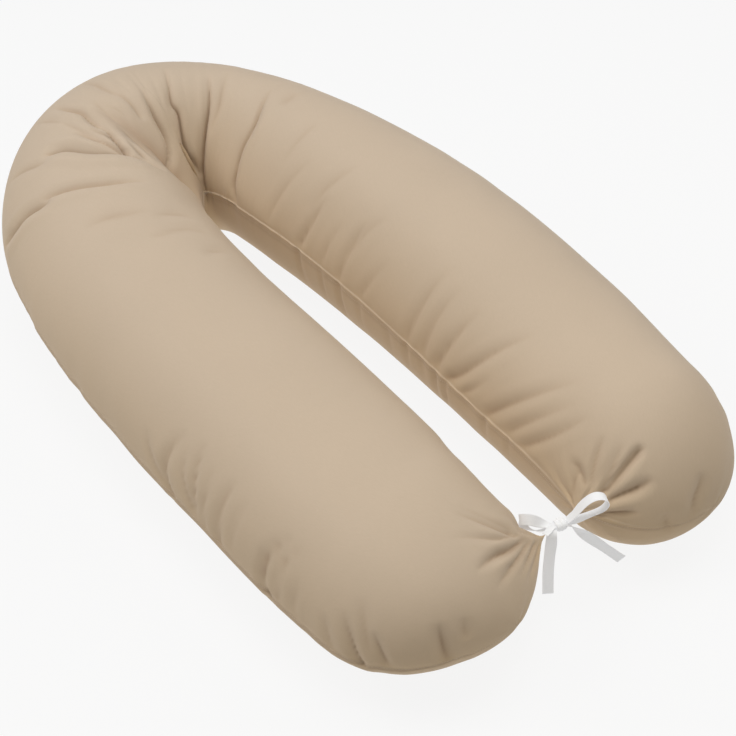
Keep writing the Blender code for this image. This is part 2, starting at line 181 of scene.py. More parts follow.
# line: (station, girth angle) points along the fold. deepest: where along it the fold is deepest,
# 0 to 1. pinch: depth of the sharp crease along its middle. lap: how far the cloth on one side is
# pushed over the crease; with the angle falling along the fold, plus is the side of the larger
# station. A soft fold has neither.
Fold = namedtuple("Fold", "line depth half_width deepest pinch lap", defaults=(0, 0))
FOLDS = [
    # the valley into the cleft
    Fold(((895, 100), (868, 66), (822, 14)), 17, 30, 0.82),
    # across the bend, from the outer side to the cleft
    Fold(((951, 83), (933, 68), (921, 60), (903, 49), (861, 41), (807, 40)), 5, 7, 0.68, 4, 1.5),
    Fold(((991, 98), (985, 76), (981, 64), (987, 57), (981, 43), (985, 32), (1005, 20)),
         4, 5, 0.75, 4, 2),
    Fold(((1033, 88), (1037, 72), (1037, 57), (1029, 40), (1021, 25), (1019, 13), (1025, -14)),
         5, 6, 0.72, 4.5, 2),
    Fold(((1053, 93), (1055, 71), (1055, 58), (1045, 44)), 3.5, 7, 0.50),
    Fold(((1113, 88), (1121, 73), (1131, 57), (1131, 43), (1135, 28), (1139, 16), (1155, 1)),
         5, 7, 0.68, 4.5, 2),
    Fold(((987, 34), (1003, 26), (1013, 16)), 4, 5, 0.70, 1),
    Fold(((1141, 95), (1143, 86), (1145, 78)), 2.5, 12, 0.50),
    Fold(((909, 126), (895, 110), (887, 102), (873, 96), (861, 90)), 5.5, 7, 0.60, 4.5, -2),
    Fold(((867, 92), (855, 87), (841, 83), (825, 79), (811, 74)), 7, 5.5, 0.65, 6, -2),
    Fold(((861, 104), (845, 95), (829, 87), (811, 77)), 4, 4.5, 0.70, 2.5),
    Fold(((863, 97), (849, 89), (837, 84), (819, 76)), 3, 3.5, 0.70, 2),
    Fold(((883, 115), (863, 102), (839, 90)), 2, 6, 0.50),
    Fold(((899, 137), (887, 121), (879, 113)), 2.5, 6, 0.50),
    Fold(((937, 126), (933, 109), (925, 97), (919, 88)), 3.5, 7, 0.50),
    Fold(((925, 95), (915, 79), (897, 67)), 3.5, 6, 0.60, 1),
    Fold(((907, 100), (892, 91), (876, 81)), 2.8, 6, 0.55, 0.5),
    Fold(((877, 84), (863, 74), (849, 64), (821, 57)), 6, 8, 0.65, 0.5),
    Fold(((903, 93), (897, 84), (887, 73)), 2, 6, 0.50),
    Fold(((845, 76), (825, 69), (807, 62)), 5, 5, 0.60),
    # on the near side of the bend
    Fold(((839, 121), (837, 113), (831, 105), (819, 96), (813, 87), (807, 76), (799, 65),
          (783, 54)), 12, 10, 0.40, 4.5, -7),
    Fold(((845, 151), (839, 137), (831, 126), (827, 117)), 4, 7, 0.50),
    Fold(((777, 127), (771, 117), (765, 108), (757, 99), (749, 88), (743, 70)),
         5.5, 8, 0.40, 2, -2),
    Fold(((793, 168), (779, 152), (775, 139), (769, 129), (765, 120)), 8, 9, 0.40, 2.5, -3),
    Fold(((689, 113), (689, 101), (685, 92), (681, 78)), 3, 12, 0.50),
    Fold(((667, 81), (671, 66), (665, 51)), 2.5, 8, 0.50),
    Fold(((631, 88), (633, 79), (635, 64), (625, 50)), 2.5, 9, 0.50),
    Fold(((577, 70), (585, 59), (587, 46)), 2.5, 7, 0.50),
    # up from the far leg's inner seam
    Fold(((1207, 82), (1209, 67), (1214, 46)), 2, 9, 0.50),
    Fold(((1250, 62), (1238, 33), (1228, 4)), 2.5, 7, 0.60),
    Fold(((1313, 76), (1307, 61), (1301, 48), (1298, 32)), 2.5, 8, 0.55),
    Fold(((1313, 50), (1309, 26), (1297, 0)), 4, 6, 0.75, 0.5),
    Fold(((1388, 52), (1385, 25), (1382, 0)), 3.5, 6, 0.75, 0.5),
    Fold(((1410, 62), (1396, 43), (1389, 22)), 2, 7, 0.60),
    Fold(((1356, 42), (1350, 22), (1344, 0)), 2.5, 5, 0.70),
    Fold(((1452, 42), (1437, 20), (1424, 0)), 2.2, 6, 0.70),
    Fold(((1532, 64), (1528, 32), (1524, 0)), 3.5, 7, 0.80),
    Fold(((1560, 58), (1556, 29), (1555, 0)), 3.5, 7, 0.80),
    Fold(((1600, 56), (1592, 28), (1581, 0)), 4, 7, 0.80, 0.5),
    Fold(((1672, 66), (1650, 42), (1625, 16), (1602, 0)), 4.6, 7, 0.80, 0.5),
    Fold(((1666, 30), (1650, 14), (1630, 0)), 2.5, 5, 0.70),
    Fold(((1752, 64), (1726, 40), (1700, 18), (1678, 0)), 4.2, 7, 0.80, 0.5),
    Fold(((1766, 52), (1740, 26), (1714, 0)), 3.5, 6, 0.75),
    Fold(((1786, 52), (1766, 27), (1738, 0)), 4, 6, 0.75, 0.5),
    Fold(((1803, 30), (1806, 20), (1808, 2)), 3.5, 6, 0.70),
    # on the back panel under the far leg's inner seam
    Fold(((1297, 2), (1298, -12), (1301, -30)), 2.5, 5, 0.30, 1),
    Fold(((1345, 2), (1344, -26)), 2, 4, 0.35, 0.5),
    Fold(((1382, 2), (1381, -14), (1383, -34)), 3, 5, 0.30, 1),
    Fold(((1426, 2), (1424, -22)), 2, 5, 0.35),
    Fold(((1486, 2), (1488, -26)), 1.5, 6, 0.35),
    Fold(((1524, 2), (1522, -24)), 2.5, 5, 0.30, 0.5),
    Fold(((1555, 2), (1556, -22)), 2, 4, 0.35),
    Fold(((1582, 2), (1580, -14), (1577, -30)), 3, 5, 0.30, 1),
    Fold(((1603, 2), (1601, -14), (1597, -26)), 3, 4, 0.30, 1),
    Fold(((1680, 2), (1676, -24)), 2.5, 5, 0.30, 0.5),
    Fold(((1722, 2), (1720, -20)), 2, 4, 0.30),
    # in from the near leg's outer seam
    Fold(((431, 153), (421, 162), (403, 170), (375, 178)), 3, 6, 0.75),
    Fold(((375, 137), (381, 151), (383, 164), (373, 175), (355, 186)), 4.5, 7, 0.72, 0.5),
    Fold(((359, 141), (351, 156), (335, 168), (315, 179)), 3.5, 5.5, 0.75),
    Fold(((343, 133), (335, 147), (325, 162), (313, 179)), 4.2, 6, 0.72, 0.5),
    Fold(((315, 138), (309, 153), (305, 168), (299, 182)), 3, 5, 0.72),
    Fold(((285, 135), (283, 151), (281, 167), (277, 184)), 4.5, 6.5, 0.72, 0.5),
    Fold(((261, 138), (263, 155), (261, 174)), 2.5, 6, 0.70),
    Fold(((207, 135), (217, 150), (221, 164), (217, 178), (209, 191)), 5.5, 6, 0.68, 0.8),
    Fold(((193, 135), (203, 150), (206, 165), (201, 180)), 4, 5, 0.68),
    Fold(((183, 150), (185, 166), (181, 179)), 2.5, 5, 0.65),
    Fold(((155, 158), (147, 169), (139, 181)), 2.5, 6, 0.65),
    Fold(((137, 150), (126, 162), (116, 174), (105, 187)), 4.5, 6, 0.72, 0.8),
    Fold(((127, 139), (114, 154), (101, 173)), 2.8, 7, 0.65),
    Fold(((106, 153), (95, 164), (82, 179)), 3.8, 5, 0.72, 0.5),
    Fold(((53, 137), (41, 156), (33, 181)), 5.5, 7, 0.68, 0.5),
    Fold(((35, 128), (24, 153)), 2.5, 8, 0.60),
    # fanning out of the near gather
    Fold(((118, 76), (87, 66), (69, 57), (58, 48)), 2.2, 4.5, 0.75),
    Fold(((104, 78), (81, 69), (63, 59), (55, 48)), 4.2, 5, 0.78, 0.8),
    Fold(((92, 92), (63, 73), (55, 59), (51, 42)), 3.6, 4, 0.80, 0.8),
    Fold(((51, 96), (47, 77), (43, 61), (47, 36)), 6.5, 5, 0.66, 1.2),
    Fold(((27, 96), (31, 69), (35, 51), (43, 31)), 4.5, 4.5, 0.68, 1),
    Fold(((19, 72), (27, 45), (33, 32), (43, 17)), 3.6, 3.5, 0.72, 0.8),
    Fold(((13, 52), (23, 29), (31, 16), (39, 10)), 3, 3, 0.72, 0.5),
    # fanning out of the far gather
    Fold(((1837, 61), (1839, 53), (1839, 43), (1839, 32), (1837, 21)), 8, 5, 0.50, 2),
    Fold(((1837, 29), (1835, 23), (1833, 17)), 3.5, 3.5, 0.60, 2),
    Fold(((1861, 50), (1857, 37), (1849, 26), (1843, 16)), 8, 6, 0.60, 1),
    Fold(((1869, 19), (1855, 10), (1839, 1)), 6.5, 7, 0.60, 0.5),
    Fold(((1807, 50), (1815, 36), (1823, 23)), 4, 4.5, 0.65, 0.5),
    Fold(((1825, 54), (1831, 37), (1833, 24)), 3.5, 4.5, 0.65, 0.5),
    Fold(((1794, 28), (1809, 25), (1821, 22)), 4.5, 4.5, 0.60, 0.5),
    # round the far end
    Fold(((1883, 81), (1891, 65), (1897, 14)), 4.5, 8, 0.60),
    Fold(((1889, -12), (1883, 25)), 3, 6, 0.60),
    # round the neck of the near gather
    Fold(((62, 46), (70, 10), (84, -28)), 10, 10, 0.55),
    # on the sides that face away
    Fold(((930, 150), (926, 164), (921, 182)), 4, 9, 0.60),
    Fold(((1000, 154), (1004, 168), (1006, 186)), 3, 8, 0.60),
    Fold(((1180, 150), (1174, 166), (1168, 182)), 2.5, 9, 0.60),
    Fold(((1290, 158), (1286, 170), (1288, 184)), 2.5, 8, 0.60),
    Fold(((1425, 148), (1432, 165), (1428, 182)), 2.5, 9, 0.60),
    Fold(((1548, 154), (1541, 168), (1538, 184)), 2.5, 8, 0.60),
    Fold(((1655, 150), (1660, 166), (1652, 182)), 2.5, 8, 0.60),
    Fold(((1742, 146), (1738, 164), (1731, 182)), 2.5, 8, 0.60),
    Fold(((1822, 140), (1829, 160), (1826, 182)), 6, 8, 0.60),
    Fold(((700, 22), (706, 12), (710, 2)), 2, 6, 0.65),
    Fold(((640, 20), (636, 11), (634, 2)), 2, 6, 0.65),
    Fold(((520, 22), (526, 12), (525, 2)), 2, 6, 0.65),
    Fold(((452, 20), (448, 11), (449, 2)), 2, 6, 0.65),
    Fold(((330, 22), (324, 12), (326, 2)), 2, 6, 0.65),
    Fold(((240, 20), (245, 11), (244, 2)), 1.2, 6, 0.65),
    Fold(((160, 22), (152, 12), (148, 2)), 1.2, 6, 0.65),
]
FOLD_STEPS = 24
FOLD_REACH = 90         # stations on each side of a fold's middle that it can move
PINCH_WIDTH = 2.0
SHARP_PINCH = 2         # the pinch from which a fold is sharp in full
SHARP_SHARE = 0.35      # how much sooner a sharp fold reaches its full depth
# across a fold, in half widths: the trough's width and power, on an open and on a lapped side; the
# ridge's height as a share of the depth, its place and its width; and the lap's place and width
TROUGH = (1, 1.05)
LAPPED_TROUGH = (0.8, 1.4)
RIDGE_SHARE, RIDGE_PLACE, RIDGE_WIDTH = 0.16, 1.9, 0.9
LAPPED_RIDGE = 1.8      # how much higher the ridge is on the lapped side
LAP_PLACE, LAP_WIDTH = 0.9, 0.7
# the shade in a soft fold: its width and power, and the depth from which it is full
SHADE_WIDTH, SHADE_POWER, SHADE_DEPTH = 0.45, 1.5, 7

ROUGH_KNOTS = 512       # after this many waves an uneven line starts again

# fine puckers along both seams: the width of one, its greatest depth, and how far up the cloth
Pucker = namedtuple("Pucker", "wave depth reach")
PUCKERS = [Pucker(30, 2.2, 42), Pucker(13, 1.3, 28), Pucker(6, 0.6, 13)]
PUCKER_FADE = 1.4
PUCKER_SHARE, PUCKER_BUNCH = 0.35, 140      # their mean strength, and the length of a bunch
PUCKER_LEAN, LEAN_WAVE = 0.5, 210           # how far they slant, and how soon the slant changes

# station on the inner seam, the point that the knot draws it to, and how fast the pull fades
Gather = namedtuple("Gather", "station tip fade")
GATHERS = [Gather(46, (438, -54, 99), 20), Gather(1822, (439, -11.8, 96), 22)]
GATHER_PULL = 0.95
# pleats round a tape's root: their number and weight, and how soon they fade
FLUTES = ((9, 1.0), (14, 0.9), (22, 0.7))
FLUTE_DEPTH = 0.19
FLUTE_FADE = 17
FLUTE_TURN = 1.7        # turns each set of pleats against the others

# the filling's slight lumps: their height, and their length along the pillow and round it
LUMP_HEIGHT = 0.9
LUMP_LENGTH, LUMP_DEGREES = 55, 28
SLANT_LUMP_LENGTH, LUMP_SLANT = 44, 1.5

# fine lines that the pull across the bend draws in the cloth: how far a line shifts along the
# pillow for each degree of girth, at some stations; width and depth of the lines
TENSION_LEAN = ((780, 1.6), (930, 1.6), (985, 0.1), (1050, -0.1), (1150, -0.5))
TENSION_LINES = ((17, 1.5), (9, 0.8))
TENSION_CREST = 2.2             # how narrow a line is within its width
TENSION_BREAKS = 30             # after how many degrees of girth a line breaks off
BREAK_SLANT = 0.7
TENSION_SPAN = (985, 150)       # middle station, and reach to each side
TENSION_GIRTH = (68, 48)        # middle girth angle, and reach to each side


def rough_line(x, wave, seed):
    """Uneven wave along a line, between -1 and 1."""
    knots = np.random.default_rng(seed).uniform(-1, 1, ROUGH_KNOTS)
    cell = np.floor(x / wave).astype(int)
    t = x / wave - cell
    t = t * t * (3 - 2 * t)
    return knots[cell % ROUGH_KNOTS] * (1 - t) + knots[(cell + 1) % ROUGH_KNOTS] * t


def hump(x, place, width, power=2):
    """A rounded rise of height 1 at a place, that fades over its width."""
    return np.exp(-((x - place) / width) ** power)


def fold_cloth(smooth, normal, station_grid, fold):
    """How one fold moves each place of the smooth cover, and the painted shade in its crease."""
    move = np.zeros(smooth.shape)
    crease = np.zeros(smooth.shape[:-1])
    knots = np.linspace(0, 1, len(fold.line))
    t = np.linspace(0, 1, FOLD_STEPS + 1)
    place = natural_spline(knots, np.array(fold.line, float), t)[0]
    line = cloth_points(place[:, 0], place[:, 1])
    near = np.abs(station_grid - place[:, 0].mean()) < FOLD_REACH
    points, facing = smooth[near], normal[near]
    away = np.full(len(points), np.inf)
    along = np.zeros(len(points))
    offset = np.zeros(points.shape)
    course = np.zeros(points.shape)
    for a, b, t0, t1 in zip(line[:-1], line[1:], t[:-1], t[1:]):
        step = b - a
        share = np.clip((points - a) @ step / (step @ step), 0, 1)
        here = points - a - share[:, None] * step
        distance = np.linalg.norm(here, axis=1)
        closer = distance < away
        away = np.where(closer, distance, away)
        along = np.where(closer, t0 + share * (t1 - t0), along)
        offset[closer] = here[closer]
        course[closer] = step / np.linalg.norm(step)
    rise = np.clip(along / fold.deepest, 0, 1)
    fall = np.clip((1 - along) / (1 - fold.deepest), 0, 1)
    reached = (1 + SHARP_SHARE * min(fold.pinch, SHARP_PINCH)) * np.minimum(rise, fall)
    taper = np.sin(np.pi / 2 * np.minimum(reached, 1))
    x = away / fold.half_width
    lapped = np.sign((np.cross(course, offset) * facing).sum(1)) * np.sign(fold.lap) > 0
    trough = np.where(lapped, hump(x, 0, *LAPPED_TROUGH), hump(x, 0, *TROUGH))
    ridge = hump(x, RIDGE_PLACE, RIDGE_WIDTH) * np.where(lapped, LAPPED_RIDGE, 1) * RIDGE_SHARE
    cusp = np.exp(-away / PINCH_WIDTH)
    inward = taper * (fold.depth * (trough - ridge) + fold.pinch * cusp)
    flat = offset - (offset * facing).sum(1)[:, None] * facing
    toward = -flat / np.maximum(np.linalg.norm(flat, axis=1), 1e-6)[:, None]
    over = np.where(lapped, abs(fold.lap) * taper * hump(x, LAP_PLACE, LAP_WIDTH), 0)
    move[near] = -inward[:, None] * facing + over[:, None] * toward
    # the painted crease shade: a soft band in a soft fold, a thin line along a sharp one
    soft_part = min(fold.depth / SHADE_DEPTH, 1) * hump(x, 0, SHADE_WIDTH, SHADE_POWER)
    crease[near] = taper * np.maximum(soft_part, min(fold.pinch / SHARP_PINCH, 1) * cusp)
    return move, crease


def seam_puckers(smooth, station, angle):
    """Depth of the fine puckers that the two sewn edges draw into the cloth beside them."""
    depth = np.zeros(station.shape)
    for seam_column, seed in ((0, 11), (OUTER_SEAM, 23)):
        near_seam = np.abs((angle - angles[seam_column] + 180) % 360 - 180) < 90
        away = np.linalg.norm(smooth - smooth[:, seam_column:seam_column + 1], axis=-1)
        strong = np.clip(PUCKER_SHARE + rough_line(station, PUCKER_BUNCH, seed), 0, 1)
        course = station + PUCKER_LEAN * away * rough_line(station, LEAN_WAVE, seed + 1)
        for pucker in PUCKERS:
            wave = np.clip(rough_line(course, pucker.wave, seed + int(pucker.wave)), 0, 1)
            fade = hump(away, 0, pucker.reach, PUCKER_FADE)
            depth += np.where(near_seam, pucker.depth * wave * strong * fade, 0)
    return depth


def tension_lines(station, angle):
    """Depth of the fine lines that the pull across the bend draws."""
    lean = np.interp(station, *np.array(TENSION_LEAN, float).T)
    course = station - lean * (angle - TENSION_GIRTH[0])
    share = np.exp(-((station - TENSION_SPAN[0]) / TENSION_SPAN[1]) ** 4
                   - ((angle - TENSION_GIRTH[0]) / TENSION_GIRTH[1]) ** 4)
    depth = np.zeros(station.shape)
    for number, (wave, deep) in enumerate(TENSION_LINES):
        line = 1 - np.abs(rough_line(course, wave, 31 + number)) * TENSION_CREST
        breaks = rough_line(angle + course * BREAK_SLANT + 400, TENSION_BREAKS, 41 + number)
        broken = 0.5 + 0.5 * breaks
        depth += deep * np.clip(line, 0, 1) * broken
    return depth * share


def gather_ends(points):
    """Pleat the cloth round each tape's root and draw it out to the knot."""
    for seed, gather in enumerate(GATHERS):
        root = cloth_points(gather.station, 0)
        tip = np.array(gather.tip, float)
        axis = (tip - root) / np.linalg.norm(tip - root)
        side = np.cross(axis, (0, 0, 1))
        side /= np.linalg.norm(side)
        spoke = points - root
        turn = np.arctan2(spoke @ np.cross(axis, side), spoke @ side)
        away = np.linalg.norm(spoke, axis=-1)
        flute = sum(weight * (1 - 2 * np.abs(np.sin((number * (turn + FLUTE_TURN) + seed) / 2)))
                    for number, weight in FLUTES)
        depth = FLUTE_DEPTH * flute * away * np.exp(-away / FLUTE_FADE)
        points = points - depth[..., None] * axis
        pull = GATHER_PULL * np.exp(-away / gather.fade)
        points = points + pull[..., None] * (tip - points)
    return points


ring_number, ring_station = np.array(RING_TABLE, float).T
stations = np.interp(np.arange(ring_number[-1] + 1), ring_number, ring_station)
point_number, point_angle = np.array(GIRTH_TABLE, float).T
angles = np.interp(np.arange(GIRTH_POINTS), point_number, point_angle)
station_grid, angle_grid = np.meshgrid(stations, angles, indexing="ij")
smooth = cloth_points(station_grid, angle_grid)
normal = outward(smooth)
# crease: where the folds' painted crease shade falls, the deepest of them
crease = np.zeros(station_grid.shape)
shaped = smooth.copy()
for fold in FOLDS:
    move, fold_shade = fold_cloth(smooth, normal, station_grid, fold)
    shaped += move
    crease = np.maximum(crease, fold_shade)
slanting = station_grid + angle_grid * LUMP_SLANT
lumps = (rough_line(station_grid, LUMP_LENGTH, 5) * rough_line(angle_grid + 720, LUMP_DEGREES, 6)
         + rough_line(slanting + 900, SLANT_LUMP_LENGTH, 7)) / 2
shaped -= (seam_puckers(smooth, station_grid, angle_grid)
           + tension_lines(station_grid, angle_grid) + LUMP_HEIGHT * lumps)[..., None] * normal
shaped = gather_ends(shaped)
height = shaped[..., 2]
shaped[..., 2] = (height + np.sqrt(height ** 2 + SOFT_CONTACT ** 2)) / 2
ends = np.array([cloth_points(0, 0), cloth_points(LENGTH, 0)])


# --- pillow cover: its mesh -------------------------------------------------------------------
# One closed skin. Its UV map lies on the cloth in metres, top and back panel apart, with the
# grain running along the pillow, so that the weave follows every fold.

SEAM_SHADE_BELOW = 3.2      # painted shade along the stitches, this many degrees under the seam's edge
SEAM_SHADE_REACH = 2.0
# upright part of the normal at which the cloth, turned away, starts to get painted side shade, and
# over how much
TURNED_FROM = 0.95
TURNED_SPAN = 1.1

rings = len(stations)
flat_points = np.concatenate([shaped.reshape(-1, 3), ends]) - (*MIDDLE, 0)
grid = np.arange(rings * GIRTH_POINTS).reshape(rings, GIRTH_POINTS)
following = np.roll(grid, -1, axis=1)
quads = np.stack([grid[:-1], grid[1:], following[1:], following[:-1]], -1).reshape(-1, 4)
near_pole, far_pole = rings * GIRTH_POINTS, rings * GIRTH_POINTS + 1
near_cap = np.stack([np.full(GIRTH_POINTS, near_pole), grid[0], following[0]], -1)
far_cap = np.stack([np.full(GIRTH_POINTS, far_pole), following[-1], grid[-1]], -1)

closed = np.concatenate([shaped, shaped[:, :1]], axis=1) * MM
round_step = np.linalg.norm(np.diff(closed, axis=1), axis=-1)
round_way = np.concatenate([np.zeros((rings, 1)), np.cumsum(round_step, axis=1)], axis=1)
along_step = np.linalg.norm(np.diff(closed, axis=0), axis=-1)
along_way = np.concatenate([np.zeros((1, GIRTH_POINTS + 1)), np.cumsum(along_step, axis=0)])
along_way -= along_way[rings // 2]
columns = np.arange(GIRTH_POINTS)
crown = np.where(columns < OUTER_SEAM, CROWN, UNDER_MIDDLE)
panel_gap = np.where(columns < OUTER_SEAM, 0.0, 1.0)
this_ring, next_ring = slice(None, -1), slice(1, None)


def cloth_uv_at(rows, step):
    """UV of the points of some rings, or of the points that follow them round the girth."""
    u = along_way[rows][..., columns + step]
    v = round_way[rows][..., columns + step] - round_way[rows][..., crown] + panel_gap
    return np.stack([u, v], -1)


quad_uv = np.stack([cloth_uv_at(rows, step) for rows, step in
                    ((this_ring, 0), (next_ring, 0), (next_ring, 1), (this_ring, 1))], 2)


def cap_uv(row, steps):
    """UV of the small triangles that close one end, each from its middle."""
    middle = np.stack([along_way[row, columns], panel_gap], -1)
    return np.stack([middle] + [cloth_uv_at(row, step) for step in steps], 1)


uv = np.concatenate([part.reshape(-1, 2) for part in (quad_uv, cap_uv(0, (0, 1)),
                                                      cap_uv(-1, (1, 0)))])


def place_object(name, data):
    """Put a mesh, light or camera in the scene as an object."""
    placed = bpy.data.objects.new(name, data)
    bpy.context.scene.collection.objects.link(placed)
    return placed


def cloth_piece(name, points, faces, uv):
    """A smooth piece of cloth, with a place on its UV map for each corner of its faces."""
    mesh = bpy.data.meshes.new(name)
    mesh.from_pydata(points.tolist(), [], faces)
    layer = mesh.uv_layers.new(name="cloth")
    layer.data.foreach_set("uv", np.array(uv, np.float32).ravel())
    mesh.shade_smooth()
    return place_object(name, mesh)


cover = cloth_piece("pillow_cover", flat_points * MM,
                    quads.tolist() + near_cap.tolist() + far_cap.tolist(), uv)

# painted shade masks: creases, seams' edges, sides; and their value at the ends' middles
from_seam = np.degrees(np.sin(np.radians(angle_grid)))
# painted shade in a thin band just under each seam's edge
seam_shade_share = hump(from_seam, -SEAM_SHADE_BELOW, SEAM_SHADE_REACH)
# painted side shade, growing as the cloth faces away from above
side_shade = np.clip((TURNED_FROM - normal[..., 2]) / TURNED_SPAN, 0, 1)
for name, values, at_ends in (("crease", crease, 0), ("seam", seam_shade_share, 1),
                              ("side_shade", side_shade, 1)):
    layer = cover.data.attributes.new(name, "FLOAT", "POINT")
    every = np.append(values.ravel(), [at_ends, at_ends])
    layer.data.foreach_set("value", every.astype(np.float32))


# --- pillow cover: its cotton -----------------------------------------------------------------
# Plain-woven beige cotton, matt, a little uneven in its dye and its yarn. The weave group is
# shared with the tapes: threads at a pitch, with slubs, as a height and a shade.

THREAD_HEIGHT = 0.35    # the crossing threads' part of the weave's height, beside the slubs
SLUB_ACROSS = 12        # how many slubs lie side by side in a slub's stated length
SLUB_STRETCH = 0.12     # scale of the slubs along their thread, against across it
SLUB_RANGE = (0.3, 0.7)     # what the noise mostly keeps to


def feed(tree, socket, value):
    """Give a socket a value, or link another node's output to it."""
    if isinstance(value, bpy.types.NodeSocket):
        tree.links.new(value, socket)
    else:
        socket.default_value = value


def add_node(tree, kind, sockets=None, **settings):
    """A node with its settings, and with what feeds the sockets named."""
    node = tree.nodes.new(kind)
    for name, value in settings.items():
        setattr(node, name, value)
    for name, value in (sockets or {}).items():
        feed(tree, node.inputs[name], value)
    return node


def maths(tree, operation, *values):
    """The result of a sum on numbers and outputs."""
    node = add_node(tree, "ShaderNodeMath", operation=operation)
    for socket, value in zip(node.inputs, values):
        feed(tree, socket, value)
    return node.outputs[0]


def mix(tree, blend, share, a, b):
    """Colour b laid over colour a, or multiplied with it, by a share."""
    node = add_node(tree, "ShaderNodeMix", {"Factor": share, "A": a, "B": b},
                    data_type="RGBA", blend_type=blend)
    return node.outputs["Result"]


def weave_group():
    """Node group: crossing threads on a UV map in metres."""
    group = bpy.data.node_groups.new("weave", "ShaderNodeTree")
    for name, way, kind in (("UV", "INPUT", "Vector"), ("Thread pitch", "INPUT", "Float"),
                            ("Slub length", "INPUT", "Float"), ("Height", "OUTPUT", "Float"),
                            ("Slubs", "OUTPUT", "Float")):
        group.interface.new_socket(name, in_out=way, socket_type="NodeSocket" + kind)
    given = group.nodes.new("NodeGroupInput").outputs
    result = group.nodes.new("NodeGroupOutput").inputs
    split = add_node(group, "ShaderNodeSeparateXYZ", {"Vector": given["UV"]})
    waves = []
    for axis in (0, 1):
        turns = maths(group, "DIVIDE", split.outputs[axis], given["Thread pitch"])
        waves.append(maths(group, "SINE", maths(group, "MULTIPLY", turns, math.pi)))
    scale = maths(group, "DIVIDE", SLUB_ACROSS, given["Slub length"])
    slubs = []
    for stretch in ((SLUB_STRETCH, 1, 1), (1, SLUB_STRETCH, 1)):
        place = add_node(group, "ShaderNodeMapping", {"Scale": stretch, "Vector": given["UV"]})
        slub = add_node(group, "ShaderNodeTexNoise", {"Vector": place.outputs[0],
                                                      "Scale": scale, "Detail": 2})
        slubs.append(slub.outputs["Fac"])
    mean = maths(group, "MULTIPLY", maths(group, "ADD", *slubs), 0.5)
    crossing = maths(group, "MULTIPLY", *waves)
    feed(group, result["Height"], maths(group, "MULTIPLY_ADD", crossing, THREAD_HEIGHT, mean))
    feed(group, result["Slubs"], mean)
    return group


WEAVE = weave_group()


def new_material(name, finish):
    """A material, its nodes and its shader, which gets the values of the finish."""
    material = bpy.data.materials.new(name)
    material.use_nodes = True
    shader = material.node_tree.nodes["Principled BSDF"]
    for socket, value in finish.items():
        shader.inputs[socket].default_value = value
    return material, material.node_tree, shader


def raise_surface(tree, shader, height, strength, distance):
    """Let a height show in the light on a surface."""
    bump = add_node(tree, "ShaderNodeBump", {"Height": height, "Strength": strength,
                                             "Distance": distance})
    feed(tree, shader.inputs["Normal"], bump.outputs[0])


def mottled(tree, colour, shares, scale, detail):
    """A colour that drifts between two shares of itself, and the noise that it follows."""
    place = tree.nodes.new("ShaderNodeTexCoord").outputs["Object"]
    noise = add_node(tree, "ShaderNodeTexNoise", {"Vector": place, "Scale": scale,
                                                  "Detail": detail}).outputs["Fac"]
    low, high = [(*[c * share for c in colour], 1) for share in shares]
    return mix(tree, "MIX", noise, low, high), noise


def woven(tree, pitch, slub_length, shares):
    """A weave's height on a piece's UV map, and the shade of its slubs."""
    cloth = add_node(tree, "ShaderNodeUVMap", uv_map="cloth")
    weave = add_node(tree, "ShaderNodeGroup", {"UV": cloth.outputs[0], "Thread pitch": pitch,
                                               "Slub length": slub_length}, node_tree=WEAVE)
    shade = add_node(tree, "ShaderNodeMapRange", {
        "Value": weave.outputs["Slubs"], "From Min": SLUB_RANGE[0], "From Max": SLUB_RANGE[1],
        "To Min": shares[0], "To Max": shares[1]})
    return weave.outputs["Height"], shade.outputs["Result"]


COTTON_COLOUR = (0.516, 0.416, 0.316)
COTTON_SIDE_SHADE = (1.01, 0.935, 0.785)   # painted shade on the sides, lit by the cloth round them
CREASE_COLOUR = (0.36, 0.245, 0.16)      # painted shade, as where light bounces off the dye twice
CREASE_SHADE = 0.75                    # how much of the painted crease shade a crease has
SEAM_SHADE = 0.45                      # painted shade under the seams' edges, as a share of that
COTTON_DYE = (0.965, 1.035)            # palest and deepest dye, and yarn
COTTON_YARN = (0.97, 1.03)
DYE_SCALE = 7
COTTON_PITCH = 0.00055
COTTON_SLUB = 0.010


def cotton_material():
    """Matt cotton, with painted shade in its creases, under its seams and on its sides."""
    material, tree, shader = new_material("beige_cotton", {
        "Roughness": 0.88, "Specular IOR Level": 0.25, "Sheen Weight": 0.12,
        "Sheen Roughness": 0.45})
    side_shade, seam, crease = [
        add_node(tree, "ShaderNodeAttribute", attribute_name=name).outputs["Fac"]
        for name in ("side_shade", "seam", "crease")]
    height, yarn = woven(tree, COTTON_PITCH, COTTON_SLUB, COTTON_YARN)
    dyed, _ = mottled(tree, COTTON_COLOUR, COTTON_DYE, DYE_SCALE, 4)
    # painted shade: the sides that face away get a darker, warmer colour
    sides = mix(tree, "MULTIPLY", side_shade, dyed, (*COTTON_SIDE_SHADE, 1))
    tinted = mix(tree, "MULTIPLY", 1, sides, yarn)
    # painted shade in the creases and just under the seams' edges
    deep = maths(tree, "MAXIMUM", crease, maths(tree, "MULTIPLY", seam, SEAM_SHADE))
    shaded = mix(tree, "MIX", maths(tree, "MULTIPLY", deep, CREASE_SHADE), tinted,
                 (*CREASE_COLOUR, 1))
    feed(tree, shader.inputs["Base Color"], shaded)
    raise_surface(tree, shader, height, 0.5, 0.00012)
    return material


cover.data.materials.append(cotton_material())
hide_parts("pillow")
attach(cover, "root")


# --- seam stitches ----------------------------------------------------------------------------
# One row of lockstitch in beige thread closes the two panels all round, close under the seam's
# edge. Each stitch sinks into the stuffed cloth at both its ends.

